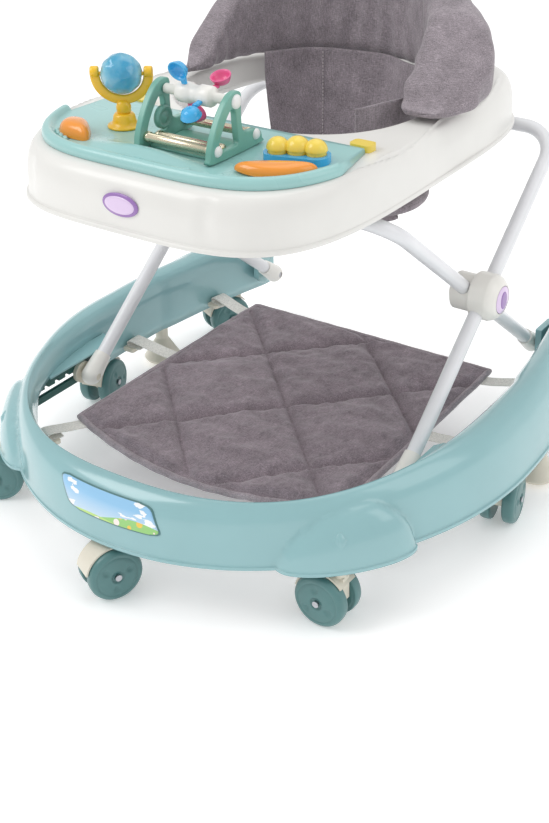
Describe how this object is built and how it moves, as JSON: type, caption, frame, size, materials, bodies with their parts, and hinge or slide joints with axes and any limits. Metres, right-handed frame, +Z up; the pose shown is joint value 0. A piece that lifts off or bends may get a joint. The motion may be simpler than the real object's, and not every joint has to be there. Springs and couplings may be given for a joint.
{
  "type": "baby walker",
  "caption": "Folding baby walker: open-backed teal base on swivel casters, crossed white tubes, white tray with a teal toy panel, padded grey seat and a quilted foot mat",
  "frame": {"origin": "on the floor under the middle of the base", "axes": "+X to the walker's left-hand side as seen by a sitting child facing the toys, that is to the right for someone who faces the walker's front; front (toy tray) faces -Y; +Z up"},
  "size_m": [0.5988, 0.624, 0.566],
  "materials": {
    "teal_plastic": "glossy light teal moulding",
    "dark_teal_plastic": "dark teal moulding",
    "wheel_plastic": "satin grey teal wheel",
    "cream_plastic": "satin cream moulding",
    "ivory_plastic": "glossy warm white moulding",
    "white_tube": "white powder coat",
    "steel": "zinc plated steel",
    "grey_fabric": "heathered mauve grey linen weave",
    "webbing": "off-white webbing",
    "printed_label": null,
    "yellow_plastic": "glossy yellow",
    "orange_plastic": "glossy orange",
    "blue_plastic": "glossy blue",
    "clear_blue": "clear blue plastic",
    "purple_plastic": "glossy purple",
    "pink_plastic": "glossy pink and blue"
  },
  "bodies": {
    "base": {"base_ring": "teal_plastic", "front_label": "printed_label", "slide_rail_left": "dark_teal_plastic", "slide_rail_right": "dark_teal_plastic", "rear_brackets": "teal_plastic", "rear_pivot_pins": "steel", "foot_mat": "grey_fabric", "mat_straps": "webbing", "strap_clips": "cream_plastic"},
    "stopper_left": {"brake_post_left": "cream_plastic"},
    "stopper_right": {"brake_post_right": "cream_plastic"},
    "rear_leg": {"rear_leg_tube": "white_tube", "rear_tube_ends": "ivory_plastic", "hub_inner_covers": "ivory_plastic", "hub_pins": "steel"},
    "front_leg": {"front_leg_tube": "white_tube", "front_tube_ends": "ivory_plastic", "hub_outer_covers": "ivory_plastic", "hub_caps": "purple_plastic"},
    "slider_left": {"slider_left": "cream_plastic"},
    "slider_right": {"slider_right": "cream_plastic"},
    "tray": {"tray": "ivory_plastic", "tray_brackets": "ivory_plastic", "tray_badge": "purple_plastic", "toy_panel": "teal_plastic", "ball_pedestal": "yellow_plastic", "car_frame": "teal_plastic", "car_rods": "cream_plastic", "blue_base": "blue_plastic", "seat_bag": "grey_fabric", "seat_back": "grey_fabric", "panel_latches": "yellow_plastic"},
    "ball_fork": {"ball_fork": "yellow_plastic"},
    "rattle_ball": {"rattle_ball": "clear_blue"},
    "spinner": {"spinner_drum": "cream_plastic", "spinner_spoons": "pink_plastic"},
    "orange_left": {"orange_button_left": "orange_plastic"},
    "orange_right": {"orange_button_right": "orange_plastic"},
    "yellow_buttons": {"yellow_buttons": "yellow_plastic"},
    "caster_front": {"caster_front_fork": "cream_plastic", "caster_front_axle": "steel"},
    "wheels_front": {"caster_front_wheels": "wheel_plastic"},
    "caster_corner_left": {"caster_corner_left_fork": "cream_plastic", "caster_corner_left_axle": "steel"},
    "wheels_corner_left": {"caster_corner_left_wheels": "wheel_plastic"},
    "caster_corner_right": {"caster_corner_right_fork": "cream_plastic", "caster_corner_right_axle": "steel"},
    "wheels_corner_right": {"caster_corner_right_wheels": "wheel_plastic"},
    "caster_side_left": {"caster_side_left_fork": "cream_plastic", "caster_side_left_axle": "steel"},
    "wheels_side_left": {"caster_side_left_wheels": "wheel_plastic"},
    "caster_side_right": {"caster_side_right_fork": "cream_plastic", "caster_side_right_axle": "steel"},
    "wheels_side_right": {"caster_side_right_wheels": "wheel_plastic"},
    "caster_rear_left": {"caster_rear_left_fork": "cream_plastic", "caster_rear_left_axle": "steel"},
    "wheels_rear_left": {"caster_rear_left_wheels": "wheel_plastic"},
    "caster_rear_right": {"caster_rear_right_fork": "cream_plastic", "caster_rear_right_axle": "steel"},
    "wheels_rear_right": {"caster_rear_right_wheels": "wheel_plastic"}
  },
  "joints": [
    {"name": "swivel_front", "type": "hinge", "parent": "base", "child": "caster_front", "pos_m": [0, -0.278, 0.06], "axis": [0, 0, 1], "continuous": true},
    {"name": "roll_front", "type": "hinge", "parent": "caster_front", "child": "wheels_front", "pos_m": [-0.00636, -0.29047, 0.028], "axis": [0.891, -0.454, 0], "continuous": true},
    {"name": "swivel_corner_left", "type": "hinge", "parent": "base", "child": "caster_corner_left", "pos_m": [-0.2145, -0.2115, 0.06], "axis": [0, 0, 1], "continuous": true},
    {"name": "roll_corner_left", "type": "hinge", "parent": "caster_corner_left", "child": "wheels_corner_left", "pos_m": [-0.22637, -0.21892, 0.028], "axis": [0.5299, -0.848, 0], "continuous": true},
    {"name": "swivel_corner_right", "type": "hinge", "parent": "base", "child": "caster_corner_right", "pos_m": [0.215, -0.211, 0.06], "axis": [0, 0, 1], "continuous": true},
    {"name": "roll_corner_right", "type": "hinge", "parent": "caster_corner_right", "child": "wheels_corner_right", "pos_m": [0.201, -0.211, 0.028], "axis": [0, -1, 0], "continuous": true},
    {"name": "swivel_side_left", "type": "hinge", "parent": "base", "child": "caster_side_left", "pos_m": [-0.272, 0.014, 0.06], "axis": [0, 0, 1], "continuous": true},
    {"name": "roll_side_left", "type": "hinge", "parent": "caster_side_left", "child": "wheels_side_left", "pos_m": [-0.26885, 0.00036, 0.028], "axis": [0.9744, 0.225, 0], "continuous": true},
    {"name": "swivel_side_right", "type": "hinge", "parent": "base", "child": "caster_side_right", "pos_m": [0.272, 0.016, 0.06], "axis": [0, 0, 1], "continuous": true},
    {"name": "roll_side_right", "type": "hinge", "parent": "caster_side_right", "child": "wheels_side_right", "pos_m": [0.26957, 0.02979, 0.028], "axis": [-0.9848, -0.1736, 0], "continuous": true},
    {"name": "swivel_rear_left", "type": "hinge", "parent": "base", "child": "caster_rear_left", "pos_m": [-0.245, 0.245, 0.06], "axis": [0, 0, 1], "continuous": true},
    {"name": "roll_rear_left", "type": "hinge", "parent": "caster_rear_left", "child": "wheels_rear_left", "pos_m": [-0.25136, 0.23253, 0.028], "axis": [0.891, -0.454, 0], "continuous": true},
    {"name": "swivel_rear_right", "type": "hinge", "parent": "base", "child": "caster_rear_right", "pos_m": [0.245, 0.245, 0.06], "axis": [0, 0, 1], "continuous": true},
    {"name": "roll_rear_right", "type": "hinge", "parent": "caster_rear_right", "child": "wheels_rear_right", "pos_m": [0.252, 0.25712, 0.028], "axis": [-0.866, 0.5, 0], "continuous": true},
    {"name": "stopper_left_slide", "type": "slide", "parent": "base", "child": "stopper_left", "axis": [0, 0, -1], "range_m": [0, 0.006]},
    {"name": "stopper_right_slide", "type": "slide", "parent": "base", "child": "stopper_right", "axis": [0, 0, -1], "range_m": [0, 0.006]},
    {"name": "fold", "type": "hinge", "parent": "base", "child": "rear_leg", "pos_m": [0, 0.263, 0.09], "axis": [1, 0, 0], "range_deg": [0, 21]},
    {"name": "hub_pivot", "type": "hinge", "parent": "rear_leg", "child": "front_leg", "pos_m": [0, 0.0905, 0.22702], "axis": [1, 0, 0], "range_deg": [-42, 0]},
    {"name": "tray_pivot", "type": "hinge", "parent": "front_leg", "child": "tray", "pos_m": [0, 0.26198, 0.36323], "axis": [1, 0, 0], "range_deg": [0, 21]},
    {"name": "slider_left_pivot", "type": "hinge", "parent": "front_leg", "child": "slider_left", "pos_m": [0, -0.08201, 0.09], "axis": [1, 0, 0], "range_deg": [0, 21]},
    {"name": "slider_right_pivot", "type": "hinge", "parent": "front_leg", "child": "slider_right", "pos_m": [0, -0.08201, 0.09], "axis": [1, 0, 0], "range_deg": [0, 21]},
    {"name": "fork_swivel", "type": "hinge", "parent": "tray", "child": "ball_fork", "pos_m": [-0.079, -0.141, 0.44], "axis": [0, 0, 1], "continuous": true},
    {"name": "ball_spin", "type": "hinge", "parent": "ball_fork", "child": "rattle_ball", "pos_m": [-0.079, -0.141, 0.488], "axis": [0.848, 0.5299, 0], "continuous": true},
    {"name": "spinner_turn", "type": "hinge", "parent": "tray", "child": "spinner", "pos_m": [0.02, -0.15, 0.486], "axis": [1, 0, 0], "continuous": true},
    {"name": "orange_left_press", "type": "slide", "parent": "tray", "child": "orange_left", "axis": [0, 0, -1], "range_m": [0, 0.003], "stiffness_N_per_m": 600, "springref_m": -0.001},
    {"name": "orange_right_press", "type": "slide", "parent": "tray", "child": "orange_right", "axis": [0, 0, -1], "range_m": [0, 0.003], "stiffness_N_per_m": 600, "springref_m": -0.001},
    {"name": "yellow_press", "type": "slide", "parent": "tray", "child": "yellow_buttons", "axis": [0, 0, -1], "range_m": [0, 0.003], "stiffness_N_per_m": 600, "springref_m": -0.001}
  ],
  "couplings": [
    {"joint": "hub_pivot", "follows": "fold", "ratio": -2},
    {"joint": "tray_pivot", "follows": "fold", "ratio": 1},
    {"joint": "slider_left_pivot", "follows": "fold", "ratio": 1},
    {"joint": "slider_right_pivot", "follows": "fold", "ratio": 1}
  ]
}
